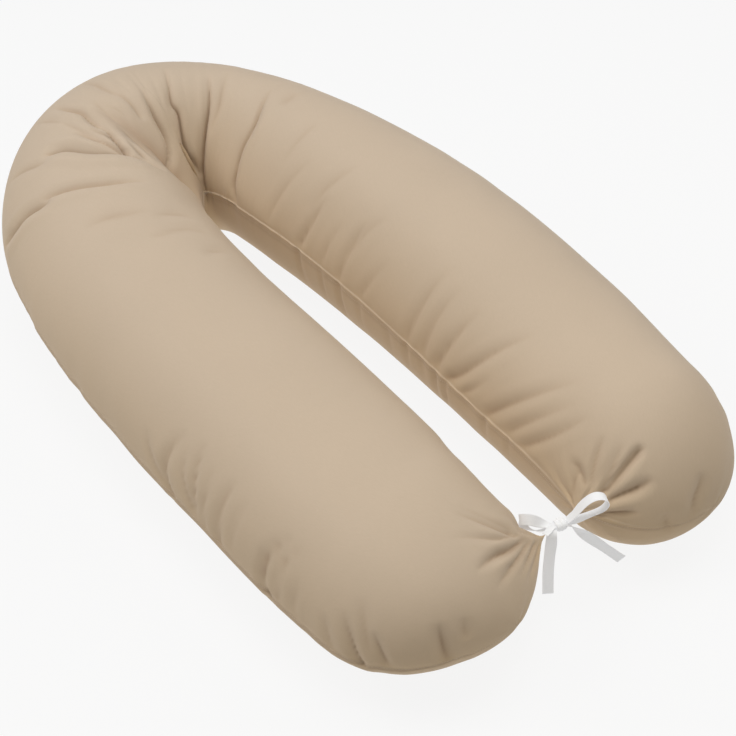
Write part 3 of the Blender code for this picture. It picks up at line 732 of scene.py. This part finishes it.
STITCH_PITCH = 0.003
STITCH_LENGTH = 0.0025
STITCH_THICKNESS = 0.0004
STITCH_SUNK = 0.00025           # how far a stitch's ends lie under the cloth
STITCH_UNEVEN = (0.90, 1.08)    # shortest and longest stitch, as a share of the length
INNER_ROW = GIRTH_POINTS - 3    # the point of the girth that the row inside the U follows
STITCH_SEED = 4
THREAD_COLOUR = (0.585, 0.475, 0.36)
THREAD_PLIES = (0.88, 1.12)     # shade of its two plies
THREAD_TWIST = 1800


def thread_material():
    """Slightly shiny thread, whose plies show as it twists."""
    material, tree, shader = new_material("beige_thread", {"Roughness": 0.55,
                                                           "Sheen Weight": 0.1})
    plies, twist = mottled(tree, THREAD_COLOUR, THREAD_PLIES, THREAD_TWIST, 2)
    feed(tree, shader.inputs["Base Color"], plies)
    raise_surface(tree, shader, twist, 0.5, 0.00006)
    return material


def stitch_tree():
    """Geometry Nodes: sunken stitches along a line whose points know the cloth's normal."""
    tree = bpy.data.node_groups.new("stitch_row", "GeometryNodeTree")
    for name, kind in (("Line", "Geometry"), ("Pitch", "Float"), ("Stitch length", "Float"),
                       ("Thread thickness", "Float"), ("Sunk", "Float"), ("Seed", "Int"),
                       ("Thread", "Material")):
        tree.interface.new_socket(name, in_out="INPUT", socket_type="NodeSocket" + kind)
    tree.interface.new_socket("Stitches", in_out="OUTPUT", socket_type="NodeSocketGeometry")
    given = tree.nodes.new("NodeGroupInput").outputs

    def vector(x, y, z):
        """A place or a size from its three parts."""
        return add_node(tree, "ShaderNodeCombineXYZ", {"X": x, "Y": y, "Z": z}).outputs[0]

    half = maths(tree, "MULTIPLY", given["Stitch length"], 0.5)
    radius = maths(tree, "MULTIPLY", given["Thread thickness"], 0.5)
    low = maths(tree, "MULTIPLY", given["Sunk"], -1)
    arch = add_node(tree, "GeometryNodeCurveQuadraticBezier", {
        "Resolution": 3, "Start": vector(maths(tree, "MULTIPLY", half, -1), 0, low),
        "Middle": vector(0, 0, maths(tree, "ADD", given["Sunk"], radius)),
        "End": vector(half, 0, low)})
    outline = add_node(tree, "GeometryNodeCurvePrimitiveCircle", {"Resolution": 5,
                                                                  "Radius": radius})
    stitch = add_node(tree, "GeometryNodeCurveToMesh", {
        "Curve": arch.outputs[0], "Profile Curve": outline.outputs[0], "Fill Caps": True})
    line = add_node(tree, "GeometryNodeMeshToCurve", {"Mesh": given["Line"]})
    spaced = add_node(tree, "GeometryNodeResampleCurve", {
        "Curve": line.outputs[0], "Length": given["Pitch"]}, mode="LENGTH")
    tangent = tree.nodes.new("GeometryNodeInputTangent").outputs[0]
    along = add_node(tree, "FunctionNodeAlignRotationToVector", {"Vector": tangent}, axis="X")
    facing = add_node(tree, "GeometryNodeInputNamedAttribute", {"Name": "outward"},
                      data_type="FLOAT_VECTOR")
    upright = add_node(tree, "FunctionNodeAlignRotationToVector", {
        "Rotation": along.outputs[0], "Vector": facing.outputs["Attribute"]},
        axis="Z", pivot_axis="X")
    uneven = add_node(tree, "FunctionNodeRandomValue", {"Seed": given["Seed"]},
                      data_type="FLOAT")
    for socket, value in zip([i for i in uneven.inputs if i.enabled], STITCH_UNEVEN):
        socket.default_value = value
    stretch = next(o for o in uneven.outputs if o.enabled)
    row = add_node(tree, "GeometryNodeInstanceOnPoints", {
        "Points": spaced.outputs[0], "Instance": stitch.outputs[0],
        "Rotation": upright.outputs[0], "Scale": vector(stretch, 1, 1)})
    real = add_node(tree, "GeometryNodeRealizeInstances", {"Geometry": row.outputs[0]})
    finished = add_node(tree, "GeometryNodeSetMaterial", {"Geometry": real.outputs[0],
                                                          "Material": given["Thread"]})
    feed(tree, tree.nodes.new("NodeGroupOutput").inputs[0], finished.outputs[0])
    return tree


# the row's line runs along the seam inside the U, over the far end, back outside it and over the
# near end
cloth_normal = outward(shaped)
line_points = np.concatenate([shaped[:, INNER_ROW], ends[1:], shaped[::-1, OUTER_SEAM], ends[:1]])
line_normals = np.concatenate([cloth_normal[:, INNER_ROW], cloth_normal[-1:, CROWN],
                               cloth_normal[::-1, OUTER_SEAM], cloth_normal[:1, CROWN]])
line_mesh = bpy.data.meshes.new("seam_line")
line_mesh.from_pydata(((line_points - (*MIDDLE, 0)) * MM).tolist(),
                      [(i, (i + 1) % len(line_points)) for i in range(len(line_points))], [])
line_mesh.attributes.new("outward", "FLOAT_VECTOR", "POINT").data.foreach_set(
    "vector", line_normals.astype(np.float32).ravel())
stitches = place_object("seam_stitches", line_mesh)
row = stitches.modifiers.new("stitch_row", "NODES")
row.node_group = stitch_tree()
row_values = {"Pitch": STITCH_PITCH, "Stitch length": STITCH_LENGTH,
              "Thread thickness": STITCH_THICKNESS, "Sunk": STITCH_SUNK, "Seed": STITCH_SEED,
              "Thread": thread_material()}
for socket in row.node_group.interface.items_tree:
    if socket.name in row_values:
        row[socket.identifier] = row_values[socket.name]
seen = stitches.evaluated_get(bpy.context.evaluated_depsgraph_get())
stitch_mesh = bpy.data.meshes.new_from_object(seen)
stitches.modifiers.remove(row)
stitches.data = stitch_mesh
stitch_mesh.shade_smooth()
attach(stitches, "root")


# --- tapes ------------------------------------------------------------------------------------
# Two narrow woven white tapes, sewn by one end into the seam at each end of the pillow and tied
# in a bow. They are cut square and left raw, and they narrow where the knot gathers them.

KNOT = (439, -33, 97)
KNOT_RUN = (0.30, 0.954)
TAPE_WIDTH = 12
TAPE_THICKNESS = 0.8
TAPE_STEP = 1.0
TAPE_PLEAT, TAPE_PLEATS = 0.35, 2.5     # height and number of the pleats where it is narrowed

# from the knot's centre. along: toward the far leg; front: toward +X; up. The width lies along
# (w_along, w_front, w_up).
Turn = namedtuple("Turn", "along front up w_along w_front w_up width")
NEAR_TIE = [
    Turn(-21.5, 6.0, 0.2, 0, 1, 0, 7.5),        # sewn into the near end's seam
    Turn(-14, 2.6, 1.7, 0, 1, 0, 7.5),
    Turn(-6.8, 0, 2.1, 0, 1, 0, 7.5),           # through the knot
    Turn(0, 0, 2.1, 0, 1, 0, 7.5),
    Turn(6.5, 0, 2.1, 0, 1, 0, 7.5),
    Turn(10, 1.5, 6, -0.2, 1, 0, 9),            # the loop that stands over the far end
    Turn(16.5, 4.2, 19, -0.3, 1, 0.05, 12),
    Turn(24, 6.8, 32, -0.3, 1, 0.05, 12),
    Turn(33, 9.5, 38, -0.3, 1, 0.05, 12),
    Turn(42, 12.4, 35.5, -0.3, 1, 0.1, 12),
    Turn(45.8, 13.6, 27.5, -0.3, 0.95, 0.2, 12),
    Turn(42.5, 12.8, 19, -0.3, 0.9, 0.3, 12),
    Turn(32.5, 9.4, 12, -0.3, 0.85, 0.35, 12),
    Turn(17.5, 4.6, 4.6, -0.2, 0.95, 0.15, 11),
    Turn(10.8, 1.6, 1.4, -0.1, 1, 0, 8.5),
    Turn(6.5, 0, 0.7, 0, 1, 0, 7.5),            # back through the knot
    Turn(0, 0, 0.7, 0, 1, 0, 7.5),
    Turn(-6.5, 0, 0.7, 0, 1, 0, 7.5),
    Turn(-10.5, 3.0, 0.6, 0.4, 0.9, 0, 8.5),    # the tail that hangs
    Turn(-13.8, 7.3, -2.2, 0.8, 0.6, 0.1, 10.5),
    Turn(-14.8, 9.3, -10, 0.91, 0.42, 0, 12),
    Turn(-15.5, 10.7, -25, 0.91, 0.42, 0, 12),
    Turn(-15.8, 12.3, -50, 0.91, 0.42, 0, 12),
    Turn(-15.3, 17.3, -88, 0.91, 0.42, 0, 12),
]
FAR_TIE = [
    Turn(21.3, -7.0, -1.4, 0, -1, 0, 7.5),      # sewn into the far end's seam
    Turn(13, -3.2, -0.8, 0, -1, 0, 7.5),
    Turn(6.5, 0, -0.7, 0, -1, 0, 7.5),          # through the knot
    Turn(0, 0, -0.7, 0, -1, 0, 7.5),
    Turn(-6.5, 0, -0.7, 0, -1, 0, 7.5),
    Turn(-12, -5.4, -0.7, 0.1, -0.9, 0.1, 8.5),  # the loop that lies toward the near end
    Turn(-20, -9.2, 3.4, 0.15, -0.6, 0.7, 11),
    Turn(-28.3, -12.7, 7.5, 0.29, -0.62, 0.73, 12),
    Turn(-34.4, -17, 6.8, 0.29, -0.62, 0.73, 12),
    Turn(-36.8, -20.9, 2.5, 0.29, -0.62, 0.73, 12),
    Turn(-34.4, -20.4, -3.2, 0.25, -0.4, 0.9, 12),
    Turn(-29.8, -15.8, -7.6, -0.05, 0.35, 0.9, 12),
    Turn(-23.2, -9.4, -8.4, -0.2, 0.62, 0.72, 10.5),
    Turn(-14, -3, -4.6, -0.1, 0.9, 0.35, 8.5),
    Turn(-6.5, 0, -2.1, 0, 1, 0, 7.5),          # back through the knot
    Turn(0, 0, -2.1, 0, 1, 0, 7.5),
    Turn(6.5, 0, -2.1, 0, 1, 0, 7.5),
    Turn(12.5, 4.2, -4.7, 0.25, 0.95, 0.15, 9),  # the tail that lies out to the side
    Turn(22, 10.8, -13, 0.58, 0.35, 0.7, 12),
    Turn(41, 20.3, -32, 0.63, 0.18, 0.76, 12),
    Turn(63, 32, -54, 0.63, 0.16, 0.76, 12),
]

# the tape's section: places across its width and its thickness there; the woven edges are firmer
TAPE_ACROSS = (-1, -0.96, -0.86, -0.7, -0.35, 0, 0.35, 0.7, 0.86, 0.96, 1)
TAPE_FULL = (0.3, 0.9, 1.0, 0.75, 0.7, 0.7, 0.7, 0.75, 1.0, 0.9, 0.3)

knot_along = np.array([*KNOT_RUN, 0.0])
knot_along /= np.linalg.norm(knot_along)
knot_up = np.array([0.0, 0.0, 1.0])
knot_axes = np.stack([knot_along, np.cross(knot_along, knot_up), knot_up])
knot_centre = np.array(KNOT, float) - (*MIDDLE, 0)


def make_tape(name, turns):
    """A flat tape swept along its turns, in soft pleats where it is narrowed, and its length."""
    table = np.array(turns, float)
    steps = np.linalg.norm(np.diff(table[:, :3], axis=0), axis=1)
    travel = np.concatenate([[0], np.cumsum(steps)])
    at = np.linspace(0, travel[-1], int(travel[-1] / TAPE_STEP))
    here, slope = natural_spline(travel, table, at)
    run = slope[:, :3] / np.linalg.norm(slope[:, :3], axis=1)[:, None]
    side = here[:, 3:6] - (here[:, 3:6] * run).sum(1)[:, None] * run
    side /= np.linalg.norm(side, axis=1)[:, None]
    face = np.cross(run, side)
    half_width = here[:, 6, None] / 2
    slack = np.sqrt(np.clip(1 - (here[:, 6, None] / TAPE_WIDTH) ** 2, 0, 1))
    profile = list(zip(TAPE_ACROSS, TAPE_FULL, (1,) * len(TAPE_ACROSS)))
    profile += [(a, f, -1) for a, f, _ in reversed(profile)]
    corners, across = [], []
    for a, full, up in profile:
        pleat = TAPE_PLEAT * slack * math.cos(TAPE_PLEATS * math.pi * a)
        lift = up * full * TAPE_THICKNESS / 2 + pleat
        corners.append(here[:, :3] + a * half_width * side + lift * face)
        across.append(a * TAPE_WIDTH / 2 * MM)
    points = (np.stack(corners, 1).reshape(-1, 3) @ knot_axes + knot_centre) * MM
    count, sides = len(at), len(profile)
    faces, coords = [], []
    for i in range(count - 1):
        for j in range(sides):
            k = (j + 1) % sides
            faces.append((i * sides + j, i * sides + k, (i + 1) * sides + k, (i + 1) * sides + j))
            coords += [(at[i] * MM, across[j]), (at[i] * MM, across[k]),
                       (at[i + 1] * MM, across[k]), (at[i + 1] * MM, across[j])]
    half = sides // 2
    for row, flip in ((0, True), (count - 1, False)):
        for j in range(half - 1):
            corner = [j, j + 1, sides - 2 - j, sides - 1 - j]
            corner = corner[::-1] if flip else corner
            faces.append([row * sides + c for c in corner])
            coords += [(at[row] * MM, across[c]) for c in corner]
    return cloth_piece(name, points, faces, coords), at[-1] * MM


TAPE_COLOUR = (0.62, 0.625, 0.64)
TAPE_PAINTED_GLOW = 0.23      # painted light: a faint glow of its own, lifting it in shade
TAPE_YARN = (0.95, 1.03)    # palest and deepest yarn
TAPE_PITCH = 0.00045
TAPE_SLUB = 0.004


def tape_material():
    """White cotton tape, with a faint painted glow."""
    material, tree, shader = new_material("white_tape", {
        "Roughness": 0.8, "Specular IOR Level": 0.3, "Sheen Weight": 0.1,
        "Emission Color": (1, 1, 1, 1), "Emission Strength": TAPE_PAINTED_GLOW})
    height, yarn = woven(tree, TAPE_PITCH, TAPE_SLUB, TAPE_YARN)
    feed(tree, shader.inputs["Base Color"],
         mix(tree, "MULTIPLY", 1, (*TAPE_COLOUR, 1), yarn))
    raise_surface(tree, shader, height, 0.6, 0.00015)
    return material


white_tape = tape_material()
near_tie, near_length = make_tape("near_tie_tape", NEAR_TIE)
far_tie, far_length = make_tape("far_tie_tape", FAR_TIE)
for tape, node in ((near_tie, "near_tie"), (far_tie, "far_tie")):
    tape.data.materials.append(white_tape)
    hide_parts(node)
    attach(tape, "root")


# --- knot -------------------------------------------------------------------------------------
# The far tape's turn round both tapes at the middle of the bow, pulled tight: a narrow band of
# the same tape, pleated along its turn and plumper in front.

WRAP_HALF_LENGTH = 5.9
WRAP_OPENING = (5.0, 3.5)
WRAP_OPENING_POWER = 6
WRAP_THICKNESS = 1.0
WRAP_SWELL = 1.0
WRAP_POWER = 2.6
WRAP_DRIFT = 0.5        # how far the band's edges stray from a plain ring
WRAP_SIDES = 72
WRAP_RINGS = 25
WRAP_PLEATS = ((3.1, 0.28, 0.4), (5.3, 0.16, 2.0))      # waves across the band, depth, phase
WRAP_GIRTH = 0.04       # length of tape in the turn, and between two rings, in metres
WRAP_STEP = 0.0005


def make_knot():
    """The band as one closed skin, its outside pleated and its opening plain."""
    turn = np.arange(WRAP_SIDES) * 2 * np.pi / WRAP_SIDES
    circle = np.stack([np.cos(turn), np.sin(turn)], 1)

    def ring(share, half, power):
        """One turn round the band, at a share of its half length."""
        outline = np.sign(circle) * np.abs(circle) ** (2 / power) * half
        drift = WRAP_DRIFT * np.sin(turn + 0.6) * (1 if power == WRAP_POWER else 0)
        return np.column_stack([share * WRAP_HALF_LENGTH + drift * share, outline])

    shares = np.linspace(-1, 1, WRAP_RINGS)
    opening = np.array(WRAP_OPENING)
    rings_out = []
    for share in shares:
        pleat = sum(depth * np.cos(math.pi * waves * share + phase + 0.5 * np.sin(turn))
                    for waves, depth, phase in WRAP_PLEATS)
        edge = 1 - share ** 4
        thick = WRAP_THICKNESS * (0.45 + 0.55 * edge) + WRAP_SWELL * (1 - share ** 2)
        half = opening + (thick + pleat * edge)[:, None]
        rings_out.append(ring(share, half, WRAP_POWER))
    rings_in = [ring(share, opening, WRAP_OPENING_POWER) for share in shares[::-1]]
    points = (np.concatenate(rings_out + rings_in) @ knot_axes + knot_centre) * MM
    total = 2 * WRAP_RINGS
    faces, coords = [], []
    for i in range(total):
        for j in range(WRAP_SIDES):
            k = (j + 1) % WRAP_SIDES
            n = (i + 1) % total
            faces.append((i * WRAP_SIDES + j, n * WRAP_SIDES + j,
                          n * WRAP_SIDES + k, i * WRAP_SIDES + k))
            coords += [(side / WRAP_SIDES * WRAP_GIRTH, ring_row * WRAP_STEP)
                       for side, ring_row in ((j, i), (j, i + 1), (j + 1, i + 1), (j + 1, i))]
    return cloth_piece("bow_knot_wrap", points, faces, coords)


knot = make_knot()
knot.data.materials.append(white_tape)
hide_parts("bow_knot")
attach(knot, "root")


# --- studio -----------------------------------------------------------------------------------
# A plain pale floor, wide soft lights above and round it, a little warmer over the tied ends, and
# the camera at the photo's height and direction.

FLOOR_HALF = 30
FLOOR_DEPTH = 0.0005    # it lies this far under the pillow
FLOOR_SHADE = 0.07      # the floor is dark and glows, so that hardly a shadow shows on it
FLOOR_GLOW = 0.875
ROOM_LIGHT = 0.05       # the room lights little, but behind the floor's edge it is seen as pale
ROOM_SEEN = 0.91

floor_mesh = bpy.data.meshes.new("floor")
floor_mesh.from_pydata([(x * FLOOR_HALF, y * FLOOR_HALF, -FLOOR_DEPTH)
                        for x, y in ((-1, -1), (1, -1), (1, 1), (-1, 1))], [], [(0, 1, 2, 3)])
floor_paint, _, _ = new_material("pale_floor", {
    "Base Color": (FLOOR_SHADE, FLOOR_SHADE, FLOOR_SHADE, 1), "Roughness": 0.9,
    "Specular IOR Level": 0, "Emission Color": (1, 1, 1, 1), "Emission Strength": FLOOR_GLOW})
floor_mesh.materials.append(floor_paint)
floor = place_object("floor", floor_mesh)

world = bpy.data.worlds.new("bright_room")
bpy.context.scene.world = world
world.use_nodes = True
room = world.node_tree.nodes["Background"]
room.inputs["Color"].default_value = (1, 1, 1, 1)
ray = world.node_tree.nodes.new("ShaderNodeLightPath")
strength = add_node(world.node_tree, "ShaderNodeMapRange", {
    "Value": ray.outputs["Is Camera Ray"], "To Min": ROOM_LIGHT, "To Max": ROOM_SEEN})
feed(world.node_tree, room.inputs["Strength"], strength.outputs["Result"])


def area_light(name, place, aim, size, power, colour=(1, 1, 1)):
    """A round soft light that faces its aim."""
    light = bpy.data.lights.new(name, "AREA")
    light.shape = "DISK"
    light.size = size
    light.energy = power
    light.color = colour
    lamp = place_object(name, light)
    lamp.location = place
    lamp.rotation_euler = (Vector(aim) - Vector(place)).to_track_quat("-Z", "Y").to_euler()


area_light("left_light", (-1.3, -1.3, 1.9), (0, 0, 0.1), 1.8, 34)
area_light("top_light", (0, 0, 2.7), (0, 0, 0.1), 1.8, 28.5)
area_light("back_light", (0.3, 1.8, 1.9), (0, 0, 0.1), 1.8, 21)
area_light("right_light", (1.7, -0.6, 1.9), (0, 0, 0.1), 1.8, 8, (1, 0.95, 0.84))
area_light("front_light", (0.62, -0.12, 1.05), (0.40, -0.05, 0.1), 0.5, 1.1, (1, 0.92, 0.70))

CAMERA_TURN = math.radians(47.6)
CAMERA_RISE = math.radians(43.0)
CAMERA_REACH = 1.572
CAMERA_AIM = Vector((0.113, -0.010, 0.081))
camera_back = Vector((math.sin(CAMERA_TURN) * math.cos(CAMERA_RISE),
                      -math.cos(CAMERA_TURN) * math.cos(CAMERA_RISE), math.sin(CAMERA_RISE)))
camera_data = bpy.data.cameras.new("camera")
camera_data.lens = 64.5
camera = place_object("camera", camera_data)
camera.location = CAMERA_AIM + camera_back * CAMERA_REACH
camera.rotation_euler = (-camera_back).to_track_quat("-Z", "Y").to_euler()
bpy.context.scene.camera = camera
bpy.context.scene.view_settings.view_transform = "Standard"
